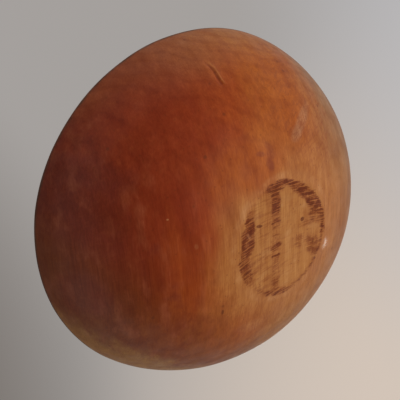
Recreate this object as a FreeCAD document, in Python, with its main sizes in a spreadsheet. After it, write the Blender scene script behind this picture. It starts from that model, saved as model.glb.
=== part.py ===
import FreeCAD, Part
import os
import Sketcher

# A turned wooden bowl, made from one blank: a round-bottomed wall cut off flat to make the foot,
# a dished inside and a plain rounded rim. The wood has moved since it was turned, so the bowl has
# gone a little oval: its long side lies along X and its short side along Y.
# +Z points out of the mouth, and the origin is the centre of the flat foot.

# Driving dimensions: alias, value, meaning. Lengths are in millimetres.
DIMENSIONS = [
    ("rim_long", 235.0, "long side of the rim, before its edge is rounded"),
    ("rim_short", 225.0, "short side of the rim, before its edge is rounded"),
    ("tall", 70.0, "height of the rim above the foot"),
    ("foot_long", 65.6, "long side of the flat foot"),
    ("flare", 0.72, "how fast the outside opens out above the foot: 1 is an ellipse"),
    ("belly", 1.47, "how late the wall turns upright: 1 is an ellipse"),
    ("wall", 8.4, "thickness of the wall at the rim"),
    ("floor_thick", 11.0, "thickness of the wood above the foot"),
    ("crowd", 1.5, "how much closer the ovals lie near the middle than near the rim"),
    ("pip", 9.0, "radius of the flat at the middle of the inside"),
    ("lip", 4.0, "rounding of the rim, inside and outside"),
    ("past_rim", 2.0, "how far the hollow is cut past the rim"),
]

# Ovals drawn up the outside and up the inside, below the rim
OUTER_STEPS = 12
INNER_STEPS = 12

# An oval's own geometry in its sketch: the curve, then its two diameters
OVAL, LONG_AXIS, SHORT_AXIS = 0, 1, 2
SKETCH_ROOT = -1
START, MIDDLE = 1, 3


def make_sheet(doc):
    """Put the driving dimensions in a spreadsheet, one row each."""
    sheet = doc.addObject("Spreadsheet::Sheet", "dims")
    for row, (alias, value, meaning) in enumerate(DIMENSIONS, start=1):
        sheet.set(f"A{row}", meaning)
        sheet.set(f"B{row}", str(value))
        sheet.setAlias(f"B{row}", alias)
    doc.recompute()
    return sheet


def oval_sketch(body, name, long_half, short_half, reach, level):
    """A level oval about the Z axis, at a height, with its long side along X.

    Its radii are the two half widths times reach. All four sizes are expressions of the
    spreadsheet's values.
    """
    sketch = body.newObject("Sketcher::SketchObject", name)
    plane = next(f for f in body.Origin.OriginFeatures if f.Role == "XY_Plane")
    sketch.AttachmentSupport = [(plane, "")]
    sketch.MapMode = "FlatFace"
    sketch.addGeometry(Part.Ellipse(FreeCAD.Vector(0, 0, 0), 2.0, 1.0), False)
    sketch.exposeInternalGeometry(OVAL)
    sketch.addConstraint([
        Sketcher.Constraint("Coincident", OVAL, MIDDLE, SKETCH_ROOT, START),
        Sketcher.Constraint("Horizontal", LONG_AXIS),
        Sketcher.Constraint("Distance", LONG_AXIS, 4.0),
        Sketcher.Constraint("Distance", SHORT_AXIS, 2.0),
    ])
    rows = sketch.ConstraintCount
    sketch.renameConstraint(rows - 2, "LongDiameter")
    sketch.renameConstraint(rows - 1, "ShortDiameter")
    sketch.setExpression("Constraints.LongDiameter", f"2 * {long_half} * {reach}")
    sketch.setExpression("Constraints.ShortDiameter", f"2 * {short_half} * {reach}")
    sketch.setExpression("AttachmentOffset.Base.z", level)
    return sketch


def outer_sections(body):
    """Ovals up the outside, from the foot to the rim.

    The outside is a round bottom, radius rim * sin(angle)^flare, cut off where it is as wide as
    the foot. The angle runs from there to 90 degrees, where the wall stands upright.
    """
    start = "asin((dims.foot_long / dims.rim_long) ^ (1 / dims.flare))"
    long_half = "dims.rim_long / 2"
    short_half = "dims.rim_short / 2"
    sections = []
    for step in range(OUTER_STEPS):
        angle = f"({start} + (90 deg - {start}) * ({step} / {OUTER_STEPS}) ^ dims.crowd)"
        reach = f"sin({angle}) ^ dims.flare"
        level = f"dims.tall * (1 - (cos({angle}) / cos({start})) ^ dims.belly)"
        sections.append(oval_sketch(body, f"outside_{step}", long_half, short_half, reach, level))
    sections.append(oval_sketch(body, "outside_rim", long_half, short_half, "1", "dims.tall"))
    return sections


def inner_sections(body):
    """Ovals up the inside, on the same kind of curve, from its flat middle to past the rim."""
    long_half = "(dims.rim_long / 2 - dims.wall)"
    short_half = "(dims.rim_short / 2 - dims.wall)"
    depth = "(dims.tall - dims.floor_thick)"
    start = f"asin((dims.pip / {long_half}) ^ (1 / dims.flare))"
    sections = []
    for step in range(INNER_STEPS):
        angle = f"({start} + (90 deg - {start}) * ({step} / {INNER_STEPS}) ^ dims.crowd)"
        reach = f"sin({angle}) ^ dims.flare"
        level = f"dims.floor_thick + {depth} * (1 - (cos({angle}) / cos({start})) ^ dims.belly)"
        sections.append(oval_sketch(body, f"inside_{step}", long_half, short_half, reach, level))
    sections.append(oval_sketch(body, "inside_mouth", long_half, short_half, "1", "dims.tall"))
    past_rim = "dims.tall + dims.past_rim"
    sections.append(oval_sketch(body, "inside_past_rim", long_half, short_half, "1", past_rim))
    return sections


def rim_edges(shape, level):
    """Names of the edges that lie wholly at the level of the rim."""
    names = []
    for number, edge in enumerate(shape.Edges, start=1):
        box = edge.BoundBox
        if abs(box.ZMin - level) < 0.05 and abs(box.ZMax - level) < 0.05:
            names.append(f"Edge{number}")
    return names


def make_bowl(doc, sheet):
    """The whole bowl: outside lofted solid, inside hollowed out, rim rounded over."""
    body = doc.addObject("PartDesign::Body", "bowl")
    body.Label = "bowl"

    outside = outer_sections(body)
    blank = body.newObject("PartDesign::AdditiveLoft", "turned_outside")
    blank.Profile = outside[0]
    blank.Sections = outside[1:]
    doc.recompute()

    inside = inner_sections(body)
    hollow = body.newObject("PartDesign::SubtractiveLoft", "dished_inside")
    hollow.Profile = inside[0]
    hollow.Sections = inside[1:]
    doc.recompute()

    rounding = body.newObject("PartDesign::Fillet", "rounded_rim")
    rounding.Base = (hollow, rim_edges(hollow.Shape, sheet.tall))
    rounding.setExpression("Radius", "dims.lip")
    doc.recompute()
    return body


def check(doc):
    """Stop if any object failed to build, or any shape is empty or broken."""
    for obj in doc.Objects:
        if "Invalid" in obj.State or "Error" in obj.State:
            raise RuntimeError(f"{obj.Label} failed: {obj.State}")
    for body in doc.findObjects("PartDesign::Body"):
        shape = body.Shape
        if shape.isNull() or not shape.isValid() or len(shape.Solids) != 1:
            raise RuntimeError(f"{body.Label} isn't one sound solid")


def main():
    doc = FreeCAD.newDocument("turned_bowl")
    sheet = make_sheet(doc)
    bowl = make_bowl(doc, sheet)
    doc.recompute()
    check(doc)
    os.makedirs("parts", exist_ok=True)
    bowl.Shape.exportStep(f"parts/{bowl.Label}.step")
    box = bowl.Shape.optimalBoundingBox()
    print(f"{bowl.Label}: {box.XLength:.1f} x {box.YLength:.1f} x {box.ZLength:.1f} mm,"
          f" {bowl.Shape.Volume / 1000:.0f} cm3")


main()
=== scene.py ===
import math

import bpy
import numpy as np
from mathutils import Matrix, Vector, noise


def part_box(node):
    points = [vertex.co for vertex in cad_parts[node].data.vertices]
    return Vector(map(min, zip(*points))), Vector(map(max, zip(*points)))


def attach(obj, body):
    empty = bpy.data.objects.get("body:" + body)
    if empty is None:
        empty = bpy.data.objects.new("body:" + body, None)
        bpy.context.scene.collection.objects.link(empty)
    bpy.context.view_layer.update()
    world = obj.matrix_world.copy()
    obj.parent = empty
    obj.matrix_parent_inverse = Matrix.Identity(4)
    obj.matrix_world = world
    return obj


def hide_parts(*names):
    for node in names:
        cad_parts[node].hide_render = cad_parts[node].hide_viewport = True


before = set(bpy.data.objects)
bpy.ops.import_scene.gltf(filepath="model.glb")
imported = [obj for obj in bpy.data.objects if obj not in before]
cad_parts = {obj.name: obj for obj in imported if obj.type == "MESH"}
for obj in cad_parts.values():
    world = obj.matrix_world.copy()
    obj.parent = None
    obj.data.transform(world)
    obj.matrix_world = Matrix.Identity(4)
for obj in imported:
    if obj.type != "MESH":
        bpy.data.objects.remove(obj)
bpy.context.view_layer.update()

# ---------------------------------------------------------------------------------------------
# Sizes, in metres. The bowl's width and height come from the CAD node. The wall, the foot and the
# exponents repeat its design, and the rest are details of the old wood.
# ---------------------------------------------------------------------------------------------
MM = 0.001
low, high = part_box("bowl")
TALL = high.z - low.z
OUTLINE = 1.0088                    # the outside curve runs this much wider than the rounded rim
LONG_HALF = OUTLINE * (high.x - low.x) / 2
SHORT_HALF = OUTLINE * (high.y - low.y) / 2
WALL = 8.4 * MM                     # thickness of the wall at the rim
FLOOR = 11.0 * MM                   # thickness of the wood above the foot
LIP = 4.0 * MM                      # rounding of the rim
FOOT_SHARE = 65.6 / 235             # the foot's width as a share of the outside curve's
FLARE = 0.72                        # exponents of the outline, the same as in the CAD model
BELLY = 1.47
WARP = 1.7 * MM                     # how far the rim rises at its long ends and sinks between them
RIM_DROP = 1.5 * MM                 # how far its average height lies below the CAD model's level rim

GRAIN_TURN = math.radians(100)      # the way the grain runs, counted from X

# The bowl's mesh: columns round the rim, and rows along each stretch of its outline
ROUND_STEPS = 340
FOOT_ROWS = 22
OUTSIDE_ROWS = 120
LIP_ROWS = 16
INSIDE_ROWS = 96
INSIDE_START = 0.002                # where the inside's rows begin, as a share of its half width
ROW_CROWDING = 1.25                 # how much closer the rows lie near the middle: 1 is even
ROUND_SAMPLES = 4001                # places round the rim at which the columns' crowding is summed

# Slow unevenness of the old surface: length of the waves and their height
WEAR_WAVES = [(34 * MM, 0.30 * MM), (9 * MM, 0.06 * MM)]
FOOT_KEPT_FLAT = 5 * MM             # the unevenness fades out below this height

# The long scar: a groove up the outside of the wall, with the wood pushed up on one side of it
SCAR_TURN = math.radians(-93.3)
SCAR_LOW, SCAR_HIGH = 24.0 * MM, 36.5 * MM
SCAR_LEAN = math.radians(0.9)       # how far it turns about Z on its way up
SCAR_WIDTH = 0.85 * MM              # half the width of the groove
SCAR_DEPTH = 0.60 * MM
SCAR_RIDGE = 0.32 * MM              # height of the wood pushed up beside it
SCAR_WAVE = 0.35 * MM               # how far the groove strays to each side on its way up
SCAR_BEND = 8.0                     # how far that stray's sine runs, in radians
SCAR_CROWDING = 14                  # extra columns over the scar, as a multiple of the usual ones
SCAR_REACH = math.radians(1.4)      # how far to each side of it they lie

# Old dents on the outside: turn in degrees, height, radius and depth in mm
DENTS = [
    (-148, 52, 3.2, 0.35), (-22, 58, 2.6, 0.30), (12, 44, 4.0, 0.35), (61, 60, 3.0, 0.40),
    (103, 50, 2.4, 0.30), (139, 39, 3.4, 0.30), (-118, 20, 3.0, 0.22), (-61, 47, 2.2, 0.25),
]


# ---------------------------------------------------------------------------------------------
# Shape
# ---------------------------------------------------------------------------------------------
def wall_curve(start_share, depth, base, rows):
    """Rows up one side of the wall, as (share of the full half width, height)."""
    start = math.asin(start_share ** (1 / FLARE))
    eased = np.linspace(0, 1, rows) ** ROW_CROWDING
    angle = start + (math.pi / 2 - start) * eased
    share = np.sin(angle) ** FLARE
    level = base + depth * (1 - (np.cos(angle) / math.cos(start)) ** BELLY)
    return share, level


def profile():
    """The outline from the middle of the foot to the middle of the inside.

    Rows of (half width along X, half width along Y, height).
    """
    tall = TALL - RIM_DROP
    rows = [(LONG_HALF * s, SHORT_HALF * s, 0.0) for s in np.linspace(0, FOOT_SHARE, FOOT_ROWS)[1:-1]]
    out_share, out_level = wall_curve(FOOT_SHARE, tall, 0.0, OUTSIDE_ROWS)
    keep = out_level < tall - LIP
    rows += list(zip(LONG_HALF * out_share[keep], SHORT_HALF * out_share[keep], out_level[keep]))
    in_share, in_level = wall_curve(INSIDE_START, tall - FLOOR, FLOOR, INSIDE_ROWS)
    keep = in_level < tall - LIP
    inner_x = (LONG_HALF - WALL) * in_share[keep]
    inner_y = (SHORT_HALF - WALL) * in_share[keep]
    inner = np.column_stack((inner_x, inner_y, in_level[keep]))[::-1]
    outer_end = np.array(rows[-1])
    lip = []
    for turn in np.linspace(0, math.pi, LIP_ROWS)[1:-1]:
        blend = (1 - math.cos(turn)) / 2
        lip.append(outer_end + (inner[0] - outer_end) * blend + (0, 0, LIP * math.sin(turn)))
    return np.vstack((rows, lip, inner))


def column_turns():
    """Angles of the mesh's columns: even, but crowded together over the scar."""
    even = np.linspace(-math.pi, math.pi, ROUND_SAMPLES)
    crowding = 1 + SCAR_CROWDING * np.exp(-((even - SCAR_TURN) / SCAR_REACH) ** 2)
    filled = np.concatenate(([0], np.cumsum(crowding[1:])))
    wanted = np.linspace(0, filled[-1], ROUND_STEPS, endpoint=False)
    return np.interp(wanted, filled, even)


def outward(rows, turns):
    """Directions that point out of the wood, for each row and column."""
    step_out = np.gradient(rows[:, 0])
    step_up = np.gradient(rows[:, 2])
    length = np.hypot(step_out, step_up)
    out = (step_up / length)[:, None]
    up = (-step_out / length)[:, None]
    return np.stack((out * np.cos(turns), out * np.sin(turns), up + 0 * turns), axis=-1)


def wear(points):
    """Slow unevenness of old wood finished by hand, in metres."""
    moved = np.zeros(points.shape[:2])
    for length, height in WEAR_WAVES:
        waves = [noise.noise(Vector(point) / length) for point in points.reshape(-1, 3)]
        moved += height * np.reshape(waves, moved.shape)
    return moved * np.clip(points[..., 2] / FOOT_KEPT_FLAT, 0, 1)


def scar(points, turns):
    """How far the scar moves the outside of the wall, out being positive."""
    up = (points[..., 2] - SCAR_LOW) / (SCAR_HIGH - SCAR_LOW)
    inside = np.clip(up, 0, 1)
    fade = np.sin(math.pi * inside) ** 0.6 * (1.15 - 0.75 * inside)
    radius = np.hypot(points[..., 0], points[..., 1])
    across = (turns - SCAR_TURN - SCAR_LEAN * (up - 0.5)) * radius
    across = across + SCAR_WAVE * np.sin(SCAR_BEND * inside)
    groove = np.exp(-(across / (SCAR_WIDTH * (1.25 - 0.7 * inside))) ** 2)
    ridge = np.exp(-((across - 1.9 * SCAR_WIDTH) / (0.9 * SCAR_WIDTH)) ** 2)
    return fade * (SCAR_RIDGE * ridge - SCAR_DEPTH * groove)


def dents(points):
    """How deep the old dents are at each point of the outside, in metres."""
    depth = np.zeros(points.shape[:2])
    angles = np.arctan2(points[..., 1], points[..., 0])
    for turn, level, radius, deep in DENTS:
        miss = np.hypot((angles - math.radians(turn)) * LONG_HALF, points[..., 2] - level * MM)
        row, column = np.unravel_index(np.argmin(miss), miss.shape)
        gap = np.linalg.norm(points - points[row, column], axis=-1)
        depth += deep * MM * np.exp(-(gap / (radius * MM)) ** 2)
    return depth


def grid_faces(rows):
    """Faces of a closed surface: rings of points, with one more point at each end."""
    faces = []
    last = 1 + rows * ROUND_STEPS
    top = 1 + (rows - 1) * ROUND_STEPS
    for step in range(ROUND_STEPS):
        after = (step + 1) % ROUND_STEPS
        faces.append((0, 1 + after, 1 + step))
        faces.append((top + step, top + after, last))
        for here in range(1, top, ROUND_STEPS):
            there = here + ROUND_STEPS
            faces.append((here + step, here + after, there + after, there + step))
    return faces


def make_bowl_mesh():
    """The whole bowl: a turned shape that has warped, worn, and been scarred and dented."""
    rows = profile()
    turns = column_turns()
    half_x, half_y, level = (rows[:, axis][:, None] for axis in range(3))
    rise = WARP * (half_x / LONG_HALF) ** 2 * np.cos(2 * turns) * np.clip(level / TALL * 1.05, 0, 1)
    points = np.stack((half_x * np.cos(turns), half_y * np.sin(turns), level + rise), axis=-1)
    push = wear(points)
    outside = slice(0, int(np.argmax(rows[:, 2])) + 1)
    push[outside] += scar(points[outside], turns) - dents(points[outside])
    points += outward(rows, turns) * push[..., None]
    middle_inside = (0.0, 0.0, float(points[-1, :, 2].mean()))
    vertices = [(0.0, 0.0, 0.0)] + points.reshape(-1, 3).tolist() + [middle_inside]
    mesh = bpy.data.meshes.new("bowl_wood")
    mesh.from_pydata(vertices, [], grid_faces(len(rows)))
    mesh.shade_smooth()
    return mesh


# ---------------------------------------------------------------------------------------------
# Wood. Every place and size in the material is in millimetres, in the bowl's own frame.
# ---------------------------------------------------------------------------------------------
DARK = (0.138, 0.0182, 0.0056)      # reddish brown of the darkest side
RED = (0.184, 0.0228, 0.0046)       # the patina beside it, then russet and orange towards the foot
RUSSET = (0.236, 0.0390, 0.0050)
ORANGE = (0.270, 0.0640, 0.0072)
GLOW = (0.262, 0.0565, 0.0057)      # a warm patch beside the foot
GOLDEN = (0.312, 0.1150, 0.0290)    # thin patina round the foot
BARE = (0.328, 0.1350, 0.0380)      # bare wood on the foot
TAN = (0.245, 0.0930, 0.0262)       # the side away from the dark one
AMBER = (0.256, 0.0930, 0.0150)     # the tan side where it turns away from the scar
LIMB_SHADE_HAZE = (0.190, 0.0920, 0.0355)      # the tan side near the rim, duller and greyer: painted limb shade and grey sheen
RIM_TAN = (0.286, 0.1230, 0.0370)   # thinner patina where the rim was held
SMOKED = (0.132, 0.0290, 0.0028)    # browner patina beside the straw band
STRAW = (0.275, 0.1190, 0.0225)     # a band near the rim that took less stain
RIM_SHADE = (0.070, 0.0260, 0.0110)     # painted shade on the outer edge of the rim's rounding
PLUM = (0.125, 0.0190, 0.0105)      # soft dark blotches
RUST_CLOUD = (0.250, 0.0600, 0.0230)
RUST = (0.105, 0.0200, 0.0050)      # pores and pricks
CURL = (0.205, 0.0470, 0.0100)      # the dark side of small curls in the grain
BRUISE = (0.165, 0.0330, 0.0120)
PAINTED_SHEEN = (0.340, 0.2350, 0.1500)     # painted sheen: a pale streak of reflected light on the patina
PALE = (0.400, 0.1900, 0.0800)      # scuffed wood
STAIN = (0.095, 0.0165, 0.0042)     # dirt pressed into the foot
SMEAR = (0.188, 0.0460, 0.0105)     # dirt smeared along the sanding strokes
SCOURED = (0.350, 0.1650, 0.0620)   # the foot where it was rubbed clean
HOLLOW = (0.185, 0.0500, 0.0150)    # the inside, oiled and used
HOLLOW_PALE = (0.275, 0.0920, 0.0280)

# Level directions along which the patina changes
TO_LIGHTER_SIDE = (0.98, -0.15, 0.0)
TO_TAN = (0.85, 0.50, 0.0)
TO_SMOKED = (-0.80, 0.60, 0.0)
TO_STRAW = (-0.73, 0.68, 0.0)

FAR = 1000                          # a size so large that its direction doesn't count

# Places and sizes of the warm patch beside the foot and of the most curled grain, and its turn
GLOW_PLACE, GLOW_SIZES = (-12, -46), (28, 17)
CURLED_PLACE, CURLED_SIZES, CURLED_TURN = (38, -62), (30, 40), -20

RING_GAP = 6.5                      # distance between growth rings
PITH_SIDE, PITH_HEIGHT = -24, 120   # the middle of the rings, across the grain and above the foot

# Dark dots: gap between them, radius as a share of the gap, share of them left out, strength
PORES = [(3.1, 0.12, 0.62, 0.42), (11.0, 0.075, 0.60, 0.60)]

SCAR_RADIUS = 90                    # how far the long scar lies from the middle of the bowl

# Scratches in the hollow: turn in degrees, strength
SCRATCHES = [(25, 0.30), (71, 0.22), (128, 0.26)]

# The stain round the edge of the foot: turn in degrees, inner and outer radius, strength
FOOT_STAIN = [
    (-180, 25.8, 33.5, 0.80), (-165, 23.5, 31.2, 0.90), (-152, 22.3, 31.0, 0.95),
    (-140, 24.6, 32.6, 0.85), (-130, 28.5, 33.8, 0.55), (-122, 30.5, 34.0, 0.10),
    (-108, 29.5, 34.0, 0.10), (-98, 28.6, 34.5, 0.85), (-86, 28.8, 34.4, 1.00),
    (-77, 29.6, 33.4, 0.85), (-70, 27.6, 32.6, 0.90), (-52, 24.8, 31.6, 1.00),
    (-32, 23.6, 31.6, 1.00), (-17, 23.0, 31.9, 0.90), (-8, 25.5, 32.2, 0.70),
    (0, 28.6, 32.6, 0.60), (22, 29.4, 32.4, 0.80), (40, 29.4, 33.0, 0.66),
    (60, 30.2, 33.6, 0.44), (92, 30.6, 34.0, 0.48), (102, 30.0, 34.2, 0.80),
    (118, 30.2, 34.0, 0.80), (132, 30.8, 33.8, 0.50), (148, 29.5, 33.6, 0.25),
    (162, 26.4, 33.6, 0.75),
]
LEAST_RADIUS, RADIUS_SPAN = 20, 20  # its radii lie between 20 and 40
FOOT_EDGE = 33.2                    # radius of the flat
SCUFF_EDGE = 36.0                   # radius of the scuffs round it

# The stained band across the foot: its middle and half width across the grain, then its strength
# at places along the grain
BAND_ACROSS = 6.8
BAND_HALF = 3.8
BAND_END = 34
BAND_STAIN = [
    (-34, 0.85), (-22, 0.84), (-17.5, 0.80), (-14.5, 0.40), (-12, 0.75), (-9.5, 0.75),
    (-7, 0.22), (-4.5, 0.55), (-2.6, 0.30), (-1, 0.40), (2, 0.78), (3.5, 0.30),
    (5.2, 0.70), (6.5, 0.30), (8.2, 0.90), (10, 0.36), (20, 0.44), (28, 0.52), (34, 0.75),
]

# Dirt rubbed into the foot: place, half length and half width, turn in degrees, strength
FOOT_SMUDGES = [
    ((21, 15), (10.5, 6.8), 62, 0.47), ((13.5, 8), (12.5, 5.4), 22, 0.40),
    ((26, -3), (8.5, 6.0), 30, 0.52), ((17, -1), (8.0, 2.6), 10, 0.34),
    ((2.5, -32), (6.5, 2.8), 0, 1.0), ((23, -15), (9.0, 4.4), 60, 1.0),
    ((-25, -11), (8.0, 4.6), 80, 0.95), ((-24, 9), (9.0, 1.8), -4, 0.36),
    ((-22, 3.5), (10.0, 1.8), -6, 0.34), ((-7, 1.8), (5.5, 2.2), 0, 0.62),
]

# Separate marks on the outside: place, half length and half width, turn in degrees, strength, colour
MARKS = [
    ((14.8, -5.2), (1.7, 1.5), 0, 1.0, RUST),           # two pricks in the foot
    ((-16.2, -15.5), (2.4, 1.0), 20, 1.0, RUST),
    ((-0.8, -44.0), (4.2, 2.6), 80, 0.62, BRUISE),      # a bruise beside the foot, in four spots
    ((1.2, -48.4), (3.4, 2.4), 30, 0.48, BRUISE),
    ((2.0, -52.4), (3.6, 2.2), 60, 0.50, BRUISE),
    ((-4.6, -50.8), (3.4, 1.5), 20, 0.66, BRUISE),
    ((-46.6, 24.1), (0.9, 1.9), 10, 0.80, STAIN),       # specks
    ((-46.0, 20.0), (1.0, 1.0), 0, 0.45, STAIN),
    ((-79, -62), (13, 9), 40, 0.50, PLUM),              # soft dark patches
    ((-103, -4), (11, 15), 0, 0.55, PLUM),
    ((-88, -33), (9, 13), 10, 0.30, PLUM),
    ((32, -56), (15.0, 3.6), -27, 0.20, PAINTED_SHEEN),         # a painted sheen streak, then scuffs and specks
    ((24, -51.5), (6.0, 4.0), -20, 0.14, PAINTED_SHEEN),
    ((-60.6, -36.8), (0.6, 0.5), 0, 0.60, PALE),
    ((-52.4, -19.9), (1.6, 1.2), 100, 0.20, PALE),
    ((-24, -13), (2.5, 0.9), 70, 0.35, PALE),
    ((-30, 45), (9.0, 5.0), 20, 0.20, PALE),
]


class Painter:
    """Builds the nodes of a material or the world. All methods but put give an output socket."""

    def __init__(self, owner):
        owner.use_nodes = True
        self.nodes = owner.node_tree.nodes
        self.links = owner.node_tree.links

    def put(self, socket, value):
        """Feed a socket with another node's output, or set it to a plain value."""
        if isinstance(value, bpy.types.NodeSocket):
            self.links.new(value, socket)
        else:
            socket.default_value = value

    def math(self, operation, *values):
        node = self.nodes.new("ShaderNodeMath")
        node.operation = operation
        for socket, value in zip(node.inputs, values):
            self.put(socket, value)
        return node.outputs["Value"]

    def vector(self, operation, *values):
        """A vector operation, whose output is a plain number for a dot product or a length."""
        node = self.nodes.new("ShaderNodeVectorMath")
        node.operation = operation
        for socket, value in zip(node.inputs, values):
            self.put(socket, value)
        plain = operation in ("DOT_PRODUCT", "LENGTH")
        return node.outputs["Value" if plain else "Vector"]

    def turned(self, vector, angle):
        """The same places, turned about Z."""
        node = self.nodes.new("ShaderNodeVectorRotate")
        node.rotation_type = "Z_AXIS"
        self.put(node.inputs["Vector"], vector)
        node.inputs["Angle"].default_value = angle
        return node.outputs["Vector"]

    def part(self, vector, axis):
        node = self.nodes.new("ShaderNodeSeparateXYZ")
        self.put(node.inputs["Vector"], vector)
        return node.outputs[axis]

    def join(self, x, y, z):
        node = self.nodes.new("ShaderNodeCombineXYZ")
        for socket, value in zip(node.inputs, (x, y, z)):
            self.put(socket, value)
        return node.outputs["Vector"]

    def noise(self, vector, sizes, detail=3.0, rough=0.5):
        """Cloudy values about 0.5, whose clouds have these sizes along the vector's axes."""
        node = self.nodes.new("ShaderNodeTexNoise")
        scaled = self.vector("DIVIDE", vector, sizes)
        self.put(node.inputs["Vector"], scaled)
        node.inputs["Scale"].default_value = 1.0
        node.inputs["Detail"].default_value = detail
        node.inputs["Roughness"].default_value = rough
        return node.outputs["Fac"]

    def between(self, value, start, end, low=0.0, high=1.0):
        """Smoothly from low to high, as the value goes from start to end."""
        node = self.nodes.new("ShaderNodeMapRange")
        node.interpolation_type = "SMOOTHSTEP"
        for name, number in (("Value", value), ("From Min", start), ("From Max", end),
                             ("To Min", low), ("To Max", high)):
            self.put(node.inputs[name], number)
        return node.outputs["Result"]

    def table(self, value, rows, start, end):
        """A number read off (place, number) rows, for a value that goes from start to end."""
        node = self.nodes.new("ShaderNodeValToRGB")
        share = self.math("DIVIDE", self.math("SUBTRACT", value, start), end - start)
        self.put(node.inputs["Fac"], share)
        stops = node.color_ramp.elements
        while len(stops) < len(rows):
            stops.new(1.0)
        for stop, (place, number) in zip(stops, rows):
            stop.position = (place - start) / (end - start)
            stop.color = (number, number, number, 1)
        return node.outputs["Color"]

    def blend(self, share, first, second):
        """From one colour to another as the share goes from 0 to 1."""
        node = self.nodes.new("ShaderNodeMix")
        node.data_type = "RGBA"
        self.put(node.inputs["Factor"], share)
        for socket, colour in ((node.inputs["A"], first), (node.inputs["B"], second)):
            self.put(socket, (*colour, 1) if isinstance(colour, tuple) else colour)
        return node.outputs["Result"]

    def shaded(self, colour, amount):
        """A colour made lighter and yellower, or darker and redder, by a factor near 1."""
        green = self.math("POWER", amount, 1.7)
        blue = self.math("POWER", amount, 2.5)
        return self.vector("MULTIPLY", colour, self.join(amount, green, blue))

    def spot(self, place, centre, sizes, angle):
        """A soft oval mark, turned by degrees: 1 in its middle, 0 outside it."""
        moved = self.vector("SUBTRACT", place, (*centre, 0))
        level = self.turned(moved, -math.radians(angle))
        away = self.vector("LENGTH", self.vector("DIVIDE", level, (*sizes, FAR)))
        return self.between(away, 1.15, 0.55)

    def all_of(self, *values):
        """The product of some shares."""
        result = values[0]
        for value in values[1:]:
            result = self.math("MULTIPLY", result, value)
        return result

    def most_of(self, *values):
        """The largest of some shares."""
        result = values[0]
        for value in values[1:]:
            result = self.math("MAXIMUM", result, value)
        return result


def wood_colour(paint, place, grain):
    """The patina: dark on one side, through red and orange, to gold by the foot and tan beyond.

    Gives the colour, and how much a place belongs to the dark side.
    """
    cloud = paint.noise(place, (34, 34, 34), 2.0)
    streak = paint.noise(grain, (75, 6.5, 15), 3.0, 0.6)
    uneven = paint.math("MULTIPLY_ADD", cloud, 34.0, -31.0)
    uneven = paint.math("MULTIPLY_ADD", streak, 28.0, uneven)
    lighter_side = paint.vector("DOT_PRODUCT", place, TO_LIGHTER_SIDE)
    lighter_side = paint.math("ADD", lighter_side, uneven)
    slant = paint.vector("DOT_PRODUCT", place, TO_TAN)
    drift = paint.math("ADD", slant, uneven)
    colour = paint.blend(paint.between(lighter_side, -86, -50), DARK, RED)
    colour = paint.blend(paint.between(drift, -73, -43), colour, RUSSET)
    colour = paint.blend(paint.between(drift, -48, -22), colour, ORANGE)
    calm = paint.math("MULTIPLY_ADD", uneven, 0.35, slant)
    tanned = paint.between(calm, -12, 36)
    colour = paint.blend(tanned, colour, TAN)
    amber = paint.all_of(tanned, paint.between(paint.part(place, "Y"), 38, 76, 0.0, 0.85))
    colour = paint.blend(amber, colour, AMBER)
    rim_wear = paint.math("MULTIPLY_ADD", cloud, 30.0, paint.part(place, "Y"))
    rim_wear = paint.between(rim_wear, -66, -98, 0.0, 0.62)
    rim_wear = paint.all_of(rim_wear, paint.between(paint.part(place, "X"), -40, 25, 0.45, 1.0))
    colour = paint.blend(rim_wear, colour, RIM_TAN)
    # painted shade and grey sheen on the far limb of the tan side
    colour = paint.blend(paint.between(lighter_side, 52, 94, 0.0, 0.85), colour, LIMB_SHADE_HAZE)
    smoke = paint.vector("DOT_PRODUCT", place, TO_SMOKED)
    smoke = paint.math("MULTIPLY_ADD", uneven, 0.7, smoke)
    colour = paint.blend(paint.between(smoke, 45, 85, 0.0, 0.72), colour, SMOKED)

    away = paint.vector("LENGTH", paint.vector("MULTIPLY", place, (1, 1, 0)))
    halo = paint.between(paint.math("MULTIPLY_ADD", cloud, -16.0, away), 56, 24)
    halo = paint.all_of(halo, paint.between(drift, -66, -40))
    colour = paint.blend(halo, colour, GOLDEN)
    glow = paint.vector("SUBTRACT", place, (*GLOW_PLACE, 0))
    glow = paint.vector("LENGTH", paint.vector("DIVIDE", glow, (*GLOW_SIZES, FAR)))
    glow = paint.between(paint.math("MULTIPLY_ADD", cloud, 0.6, glow), 1.45, 0.6, 0.0, 0.85)
    return paint.blend(glow, colour, GLOW), paint.between(lighter_side, -30, -66)


def add_straw_band(paint, place, grain, colour):
    """The pale band near the rim, on the side away from the long scar."""
    side = paint.vector("DOT_PRODUCT", place, TO_STRAW)
    cloud = paint.noise(grain, (40, 9, 12), 3.0, 0.6)
    band = paint.between(paint.math("MULTIPLY_ADD", cloud, 26.0, side), 100, 115, 0.0, 0.80)
    return paint.blend(band, colour, STRAW)


def add_blotches(paint, place, grain, colour, dark_side):
    """Soft plum-dark blotches and paler clouds where the patina is dark."""
    patches = paint.between(paint.noise(place, (18, 18, 18), 4.0, 0.6), 0.52, 0.70, 0.0, 0.50)
    colour = paint.blend(paint.all_of(patches, dark_side), colour, PLUM)
    clouds = paint.noise(paint.vector("ADD", grain, (90, 40, 10)), (15, 6, 9), 3.0, 0.55)
    pale = paint.between(clouds, 0.50, 0.70, 0.0, 0.42)
    dark_side = paint.math("MULTIPLY_ADD", dark_side, 0.85, 0.15)
    return paint.blend(paint.all_of(pale, dark_side), colour, RUST_CLOUD)


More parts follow.
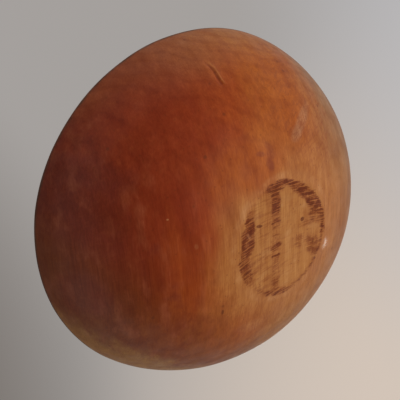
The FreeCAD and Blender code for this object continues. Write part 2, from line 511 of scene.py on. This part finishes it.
def add_rim_shade(paint, place, outside, colour):
    """Painted shade: a dark line on the outer edge of the rim. The rim's warp is taken out of its
    height.
    """
    x, y = paint.part(place, "X"), paint.part(place, "Y")
    saddle = paint.math("SUBTRACT", paint.math("MULTIPLY", x, x), paint.math("MULTIPLY", y, y))
    lift = -WARP / MM / (LONG_HALF / MM) ** 2
    level = paint.math("MULTIPLY_ADD", saddle, lift, paint.part(place, "Z"))
    patchy = paint.noise(place, (7, 7, 3), 3.0, 0.6)
    level = paint.math("MULTIPLY_ADD", patchy, 1.6, level)
    edge = paint.all_of(paint.between(level, 62.8, 65.0), paint.between(patchy, 0.3, 0.6, 0.65, 0.92))
    # painted shade where the rim's rounding turns away from the light
    return paint.blend(paint.all_of(edge, outside), colour, RIM_SHADE)


def add_grain(paint, place, grain, colour):
    """Growth rings, fibres and small curls of the grain. Gives the colour and the fibres."""
    across = paint.math("SUBTRACT", paint.part(grain, "Y"), PITH_SIDE)
    down = paint.math("SUBTRACT", paint.part(grain, "Z"), PITH_HEIGHT)
    bend = paint.noise(grain, (60, 22, 22), 2.0)
    radius = paint.vector("LENGTH", paint.join(across, down, 0.0))
    radius = paint.math("MULTIPLY_ADD", bend, 12.0, radius)
    wave = paint.math("SINE", paint.math("MULTIPLY", radius, 2 * math.pi / RING_GAP))
    rings = paint.between(wave, 0.2, 1.0, 1.02, 0.94)

    streaks = paint.noise(grain, (60, 4.2, 11), 3.0, 0.6)
    mottle = paint.noise(grain, (17, 7.5, 9), 4.0, 0.6)
    fibres = paint.noise(grain, (15, 0.75, 1.1), 4.0, 0.65)
    fine = paint.noise(grain, (5, 0.30, 0.45), 2.0, 0.6)
    shade = paint.all_of(
        rings,
        paint.between(streaks, 0.30, 0.70, 0.92, 1.08),
        paint.between(mottle, 0.28, 0.72, 0.92, 1.08),
        paint.between(fibres, 0.25, 0.75, 0.87, 1.13),
        paint.between(fine, 0.25, 0.75, 0.94, 1.06),
    )
    tipped = paint.turned(place, math.radians(22))
    curl = paint.between(paint.noise(tipped, (5.2, 1.25, 2.6), 3.0, 0.6), 0.49, 0.64)
    where = paint.most_of(paint.spot(place, CURLED_PLACE, CURLED_SIZES, CURLED_TURN), 0.22)
    colour = paint.blend(paint.all_of(curl, where, 0.62), colour, CURL)
    return paint.shaded(colour, shade), fibres


def add_dots(paint, place, colour):
    """Pores and pricks of dirt: small dark dots, a few of them larger."""
    for gap, size, left_out, strength in PORES:
        node = paint.nodes.new("ShaderNodeTexVoronoi")
        node.inputs["Scale"].default_value = 1.0
        paint.put(node.inputs["Vector"], paint.vector("DIVIDE", place, (gap, gap, gap)))
        dot = paint.between(node.outputs["Distance"], size * 1.6, size * 0.7)
        chosen = paint.math("GREATER_THAN", paint.part(node.outputs["Color"], "X"), left_out)
        colour = paint.blend(paint.all_of(dot, chosen, strength), colour, RUST)
    return colour


def add_marks(paint, place, outside, colour):
    """The separate flaws, scuffs and patches of the outside, and a painted sheen streak."""
    ragged = paint.between(paint.noise(place, (1.6, 0.9, 1.4), 3.0, 0.6), 0.36, 0.60, 0.72, 1.0)
    for centre, sizes, angle, strength, tone in MARKS:
        mark = paint.spot(place, centre, sizes, angle)
        colour = paint.blend(paint.all_of(mark, ragged, outside, strength), colour, tone)
    return colour


def stain_radius(paint, turn, rows):
    """A radius in millimetres, read off (turn, radius) rows."""
    shares = [(angle, (radius - LEAST_RADIUS) / RADIUS_SPAN) for angle, radius in rows]
    share = paint.table(turn, shares, -180, 180)
    return paint.math("MULTIPLY_ADD", share, RADIUS_SPAN, LEAST_RADIUS)


def foot_stain(paint, place, grain, flat, strokes):
    """How dirty the foot is: a broken ring round its edge, a band across it, and smudges."""
    radius = paint.vector("LENGTH", flat)
    turn = paint.math("ARCTAN2", paint.part(flat, "Y"), paint.part(flat, "X"))
    turn = paint.math("DEGREES", turn)
    inner = stain_radius(paint, turn, [(angle, edge) for angle, edge, _, _ in FOOT_STAIN])
    outer = stain_radius(paint, turn, [(angle, edge) for angle, _, edge, _ in FOOT_STAIN])
    strength = [(angle, value) for angle, _, _, value in FOOT_STAIN]
    rough_edge = paint.noise(flat, (4.2, 2.2, 2.4), 3.0, 0.65)
    wobbled = paint.math("MULTIPLY_ADD", rough_edge, 4.4, paint.math("ADD", radius, -2.2))
    ring = paint.all_of(
        paint.between(paint.math("SUBTRACT", wobbled, inner), -1.8, 2.2),
        paint.between(paint.math("SUBTRACT", wobbled, outer), 1.2, -1.2),
        paint.table(turn, strength, -180, 180),
    )
    across = paint.math("SUBTRACT", paint.part(grain, "Y"), BAND_ACROSS)
    across = paint.math("ADD", across, paint.math("MULTIPLY_ADD", rough_edge, 3.6, -1.8))
    band = paint.all_of(
        paint.between(paint.math("ABSOLUTE", across), BAND_HALF + 1.4, BAND_HALF - 2.2),
        paint.between(radius, FOOT_EDGE + 0.8, FOOT_EDGE - 0.8),
        paint.table(paint.part(grain, "X"), BAND_STAIN, -BAND_END, BAND_END),
    )
    smudges = [
        paint.all_of(paint.spot(flat, centre, sizes, angle), value)
        for centre, sizes, angle, value in FOOT_SMUDGES
    ]
    stain = paint.most_of(ring, band, *smudges)
    worn_through = paint.between(strokes, 0.46, 0.62, 1.0, 0.30)
    specks = paint.between(paint.noise(place, (1.3, 0.8, 0.9), 3.0), 0.34, 0.50, 0.70, 1.0)
    uneven = paint.between(paint.noise(flat, (5.5, 3.5, 5), 2.0), 0.34, 0.58, 0.55, 1.0)
    return paint.all_of(stain, worn_through, specks, uneven)


def bowed(paint, flat):
    """Places on the foot, bent so that X follows the slight curve of the sanding strokes."""
    x, y = paint.part(flat, "X"), paint.part(flat, "Y")
    bow = paint.math("MULTIPLY", x, paint.math("MULTIPLY_ADD", x, -0.0035, -0.12))
    return paint.join(x, paint.math("ADD", y, bow), 0.0)


def add_foot(paint, place, grain, colour):
    """The flat foot: bare golden wood, strokes, dirt, and a scuffed edge.

    Gives the colour, the strokes and how much a place belongs to the foot.
    """
    flat = paint.vector("MULTIPLY", place, (1, 1, 0))
    radius = paint.vector("LENGTH", flat)
    on_foot = paint.between(radius, FOOT_EDGE + 1.5, FOOT_EDGE - 2.5)
    below = paint.between(paint.part(place, "Z"), 6.0, 3.0)
    on_foot = paint.all_of(on_foot, below)
    colour = paint.blend(paint.all_of(on_foot, 0.9), colour, BARE)

    stroke_line = bowed(paint, flat)
    strokes = paint.noise(stroke_line, (13, 0.95, 1), 3.0, 0.55)
    smears = paint.noise(stroke_line, (12, 2.3, 1), 3.0, 0.5)
    left = paint.between(paint.part(flat, "X"), 8.0, -14.0)
    fine = paint.all_of(paint.between(strokes, 0.52, 0.66), on_foot)
    broad = paint.all_of(paint.between(smears, 0.50, 0.62), on_foot)
    fine = paint.all_of(fine, paint.math("MULTIPLY_ADD", left, 0.20, 0.12))
    broad = paint.all_of(broad, paint.math("MULTIPLY_ADD", left, 0.32, 0.08))
    colour = paint.blend(fine, colour, SMEAR)
    colour = paint.blend(broad, colour, SMEAR)
    scoured = paint.between(paint.noise(stroke_line, (16, 6, 1), 3.0), 0.52, 0.66, 0.0, 0.40)
    colour = paint.blend(paint.all_of(scoured, on_foot), colour, SCOURED)

    away = paint.math("ABSOLUTE", paint.math("SUBTRACT", radius, SCUFF_EDGE))
    patchy = paint.noise(place, (9, 9, 9), 3.0)
    edge = paint.all_of(paint.between(away, 3.2, 0.6), paint.between(patchy, 0.40, 0.65, 0.05, 0.4))
    colour = paint.blend(paint.all_of(edge, below), colour, PALE)

    stain = paint.all_of(foot_stain(paint, place, grain, flat, strokes), below)
    colour = paint.blend(paint.between(stain, 0.0, 0.55, 0.0, 0.85), colour, SMEAR)
    colour = paint.blend(paint.between(stain, 0.20, 0.80, 0.0, 0.95), colour, STAIN)
    return colour, paint.all_of(on_foot, strokes), on_foot


def add_scar(paint, place, colour):
    """Darker in the long scar's groove, and lighter on the ridge beside it."""
    middle = (SCAR_LOW + SCAR_HIGH) / 2 / MM
    length = (SCAR_HIGH - SCAR_LOW) / MM
    start = SCAR_RADIUS * math.cos(SCAR_TURN), SCAR_RADIUS * math.sin(SCAR_TURN)
    moved = paint.vector("SUBTRACT", place, (*start, middle))
    level = paint.turned(moved, -SCAR_TURN)
    up = paint.part(level, "Z")
    lean = SCAR_LEAN * SCAR_RADIUS / length
    across = paint.math("MULTIPLY_ADD", up, -lean, paint.part(level, "Y"))
    wave = paint.math("MULTIPLY_ADD", up, SCAR_BEND / length, SCAR_BEND / 2)
    across = paint.math("MULTIPLY_ADD", paint.math("SINE", wave), SCAR_WAVE / MM, across)
    near = paint.between(paint.math("ABSOLUTE", up), 6.6, 4.6)
    near = paint.all_of(near, paint.between(paint.math("ABSOLUTE", paint.part(level, "X")), 22, 16))
    width = SCAR_WIDTH / MM
    groove = paint.between(paint.math("ABSOLUTE", across), width * 1.25, width * 0.30)
    ridge = paint.math("ABSOLUTE", paint.math("SUBTRACT", across, 2.1 * width))
    groove_dark = paint.between(paint.noise(place, (1.4, 1.4, 3.0), 3.0, 0.6), 0.30, 0.62, 0.10, 0.50)
    colour = paint.blend(paint.all_of(near, groove, groove_dark), colour, PLUM)
    ridge = paint.between(ridge, width * 1.1, 0.0)
    return paint.blend(paint.all_of(near, ridge, 0.45), colour, GOLDEN)


def inside_colour(paint, place, colour):
    """The hollow: browner and duller, golden towards its bottom, with a few pale scratches."""
    deep = paint.between(paint.part(place, "Z"), 50, 12)
    cloud = paint.noise(place, (26, 26, 26), 3.0, 0.55)
    tone = paint.blend(paint.between(cloud, 0.35, 0.65), HOLLOW, HOLLOW_PALE)
    tone = paint.blend(paint.all_of(deep, 0.45), tone, GOLDEN)
    tone = paint.blend(0.38, tone, colour)
    for turn, strength in SCRATCHES:
        scratched = paint.turned(place, math.radians(turn))
        cut = paint.between(paint.noise(scratched, (24, 0.45, 9), 2.0), 0.655, 0.70)
        tone = paint.blend(paint.all_of(cut, strength), tone, PALE)
    return tone


def wood_material():
    """Old maple under a dark hand-rubbed patina, with its wear, dirt and scars, and painted shade and
    sheen in places.
    """
    material = bpy.data.materials.new("old_maple")
    paint = Painter(material)
    shader = paint.nodes["Principled BSDF"]
    source = paint.nodes.new("ShaderNodeTexCoord")
    place = paint.vector("SCALE", source.outputs["Object"], (0, 0, 0), (0, 0, 0), 1 / MM)
    grain = paint.turned(place, -GRAIN_TURN)
    facing = paint.part(source.outputs["Normal"], "Z")
    inside = paint.between(facing, -0.05, 0.45)
    outside = paint.math("SUBTRACT", 1.0, inside)

    colour, dark_side = wood_colour(paint, place, grain)
    colour = add_blotches(paint, place, grain, colour, dark_side)
    colour = add_straw_band(paint, place, grain, colour)
    hollow = inside_colour(paint, place, colour)
    colour, strokes, on_foot = add_foot(paint, place, grain, colour)
    colour = add_marks(paint, place, outside, colour)
    # painted shade along the rim's outer edge
    colour = add_rim_shade(paint, place, outside, colour)
    colour = add_scar(paint, place, colour)
    colour = paint.blend(inside, colour, hollow)
    colour, fibres = add_grain(paint, place, grain, colour)
    colour = add_dots(paint, place, colour)
    paint.put(shader.inputs["Base Color"], colour)

    greasy = paint.noise(place, (9, 9, 9), 3.0)
    rough = paint.between(greasy, 0.30, 0.70, 0.50, 0.66)
    rough = paint.math("MULTIPLY_ADD", on_foot, 0.10, rough)
    rough = paint.math("MULTIPLY_ADD", fibres, 0.08, rough)
    paint.put(shader.inputs["Roughness"], rough)
    shader.inputs["IOR"].default_value = 1.35
    shader.inputs["Coat Weight"].default_value = 0.14
    shader.inputs["Coat Roughness"].default_value = 0.11

    lathe = paint.math("SINE", paint.math("MULTIPLY", paint.part(place, "Z"), 4.4))
    lathe = paint.all_of(lathe, inside, paint.between(greasy, 0.45, 0.65))
    relief = paint.math("MULTIPLY_ADD", strokes, 1.5, fibres)
    relief = paint.math("MULTIPLY_ADD", lathe, 0.35, relief)
    bump = paint.nodes.new("ShaderNodeBump")
    bump.inputs["Strength"].default_value = 0.6
    bump.inputs["Distance"].default_value = 0.05 * MM
    paint.put(bump.inputs["Height"], relief)
    paint.put(shader.inputs["Normal"], bump.outputs["Normal"])
    return material


# ---------------------------------------------------------------------------------------------
# Stage, light and camera
# ---------------------------------------------------------------------------------------------
CAMERA_PLACE = Vector((-0.1449, -0.1318, -0.1614))
CAMERA_TURN = math.radians(-48.173)     # azimuth and elevation that the camera looks from
CAMERA_LIFT = math.radians(-51.138)
CAMERA_ROLL = math.radians(67.474)
FIELD_OF_VIEW = math.radians(47.84)

FLOOR_SIZE = 60
FLOOR_PALE = (0.36, 0.35, 0.335, 1)
ROOM = (0.375, 0.352, 0.337)            # the room's walls
HORIZON = (0.47, 0.45, 0.43)            # the walls where they meet the floor
DAYLIGHT = (1.0, 0.97, 0.93)


def camera_axes():
    """Right, up and back directions of the camera."""
    back = Vector((
        math.sin(CAMERA_TURN) * math.cos(CAMERA_LIFT),
        -math.cos(CAMERA_TURN) * math.cos(CAMERA_LIFT),
        math.sin(CAMERA_LIFT),
    ))
    level_right = (-back).cross(Vector((0, 0, 1))).normalized()
    level_up = level_right.cross(-back)
    up = level_up * math.cos(CAMERA_ROLL) + level_right * math.sin(CAMERA_ROLL)
    return (-back).cross(up), up, back


def make_camera():
    """The camera, below the bowl and to one side of it, rolled as the bowl leans."""
    right, up, back = camera_axes()
    data = bpy.data.cameras.new("camera")
    data.angle = FIELD_OF_VIEW
    data.clip_start = 0.01
    camera = bpy.data.objects.new("camera", data)
    turned = Matrix((right, up, back)).transposed()
    camera.matrix_world = Matrix.Translation(CAMERA_PLACE) @ turned.to_4x4()
    bpy.context.scene.collection.objects.link(camera)
    bpy.context.scene.camera = camera


def floor_material():
    """Plain and pale from above, and clear from below, where the camera stands."""
    material = bpy.data.materials.new("floor_pale")
    material.use_nodes = True
    nodes, links = material.node_tree.nodes, material.node_tree.links
    shader = nodes["Principled BSDF"]
    shader.inputs["Base Color"].default_value = FLOOR_PALE
    shader.inputs["Roughness"].default_value = 0.8
    side = nodes.new("ShaderNodeNewGeometry")
    clear = nodes.new("ShaderNodeBsdfTransparent")
    mix = nodes.new("ShaderNodeMixShader")
    links.new(side.outputs["Backfacing"], mix.inputs["Fac"])
    links.new(shader.outputs["BSDF"], mix.inputs[1])
    links.new(clear.outputs["BSDF"], mix.inputs[2])
    links.new(mix.outputs["Shader"], nodes["Material Output"].inputs["Surface"])
    return material


def make_floor():
    """A plain floor that shows the bowl's shadow, and doesn't take light away from it."""
    bpy.ops.mesh.primitive_plane_add(size=FLOOR_SIZE)
    floor = bpy.context.object
    floor.name = "floor"
    floor.data.materials.append(floor_material())
    floor.visible_diffuse = False
    floor.visible_glossy = False
    floor.visible_transmission = False
    floor.visible_shadow = False
    return floor


def add_light(name, kind, place, aim):
    """A new light at a place, shining along a direction."""
    light = bpy.data.objects.new(name, bpy.data.lights.new(name, kind))
    light.location = place
    light.rotation_euler = aim.to_track_quat("-Z", "Y").to_euler()
    bpy.context.scene.collection.objects.link(light)
    return light


def area_light(name, place, target, size, power, colour):
    """A round soft light that the camera doesn't see."""
    light = add_light(name, "AREA", place, target - place)
    light.data.shape = "DISK"
    light.data.size = size
    light.data.energy = power
    light.data.color = colour
    light.visible_camera = False
    return light


def floor_wash(floor):
    """Even light for the floor alone, so that it doesn't darken towards the horizon."""
    wash = add_light("floor_wash", "SUN", (0, 0, 0), Vector((-0.35, -0.45, -1.0)))
    wash.data.energy = 2.9
    wash.data.angle = math.radians(50)
    wash.data.color = (1.0, 0.98, 0.95)
    only_floor = bpy.data.collections.new("only_floor")
    only_floor.objects.link(floor)
    wash.light_linking.receiver_collection = only_floor


def make_light(floor):
    """Soft lights round the camera and the bowl, a small lamp for gloss, and one from above."""
    right, up, back = camera_axes()
    middle = Vector((0, 0, TALL / 2))
    soft_lights = [
        ("key", 0.70 * right + 0.08 * up + 0.62 * back, 0.9, 0.8, 9.6, (1.0, 0.95, 0.90)),
        ("fill", -0.90 * right + 0.10 * up + 0.30 * back, 0.9, 0.9, 0.75, (1.0, 0.93, 0.86)),
        ("table", -0.90 * up - 0.50 * right - 0.10 * back, 0.8, 0.9, 2.0, (1.0, 0.89, 0.67)),
        ("side", Vector((0.35, -1.2, 0.6)), 1.5, 1.2, 8.0, DAYLIGHT),
    ]
    for name, direction, distance, size, power, colour in soft_lights:
        place = middle + distance * direction.normalized()
        soft = area_light(name, place, middle, size, power, colour)
        soft.visible_glossy = False
    lamp = middle + 1.5 * Vector((0.74, 0.61, -0.27)).normalized()
    area_light("lamp", lamp, middle, 0.07, 0.30, (1.0, 0.96, 0.90))
    area_light("top", Vector((0.8, 0.9, 1.3)), middle, 1.2, 12, DAYLIGHT)
    floor_wash(floor)


def make_world():
    """A pale room: grey walls with warm, bright and dark sides, and paler at the horizon."""
    right, up, back = camera_axes()
    sides = [
        (0.70 * right - 0.45 * up - 0.75 * back, 0.55, 1.0, (0.66, 0.56, 0.48)),
        (0.80 * right + 0.30 * up - 0.50 * back, 0.60, 1.0, (0.50, 0.50, 0.52)),
        (-0.80 * right - 0.40 * up - 0.45 * back, 0.62, 0.95, (0.15, 0.13, 0.115)),
        (-0.20 * right - 0.10 * up + back, -0.35, 0.50, (0.055, 0.048, 0.043)),
    ]
    world = bpy.data.worlds.new("world")
    paint = Painter(world)
    ray = paint.nodes.new("ShaderNodeTexCoord").outputs["Generated"]
    colour = ROOM
    for direction, start, end, tone in sides:
        along = paint.vector("DOT_PRODUCT", ray, direction.normalized())
        colour = paint.blend(paint.between(along, start, end), colour, tone)
    height = paint.math("ABSOLUTE", paint.part(ray, "Z"))
    colour = paint.blend(paint.between(height, 0.38, 0.10), colour, HORIZON)
    paint.put(paint.nodes["Background"].inputs["Color"], colour)
    bpy.context.scene.world = world


def main():
    """Make the bowl and its setting."""
    bowl = bpy.data.objects.new("bowl_wood", make_bowl_mesh())
    bpy.context.scene.collection.objects.link(bowl)
    bowl.data.materials.append(wood_material())
    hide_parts("bowl")
    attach(bowl, "root")
    floor = make_floor()
    make_world()
    make_light(floor)
    make_camera()
    bpy.context.scene.view_settings.view_transform = "Standard"


main()
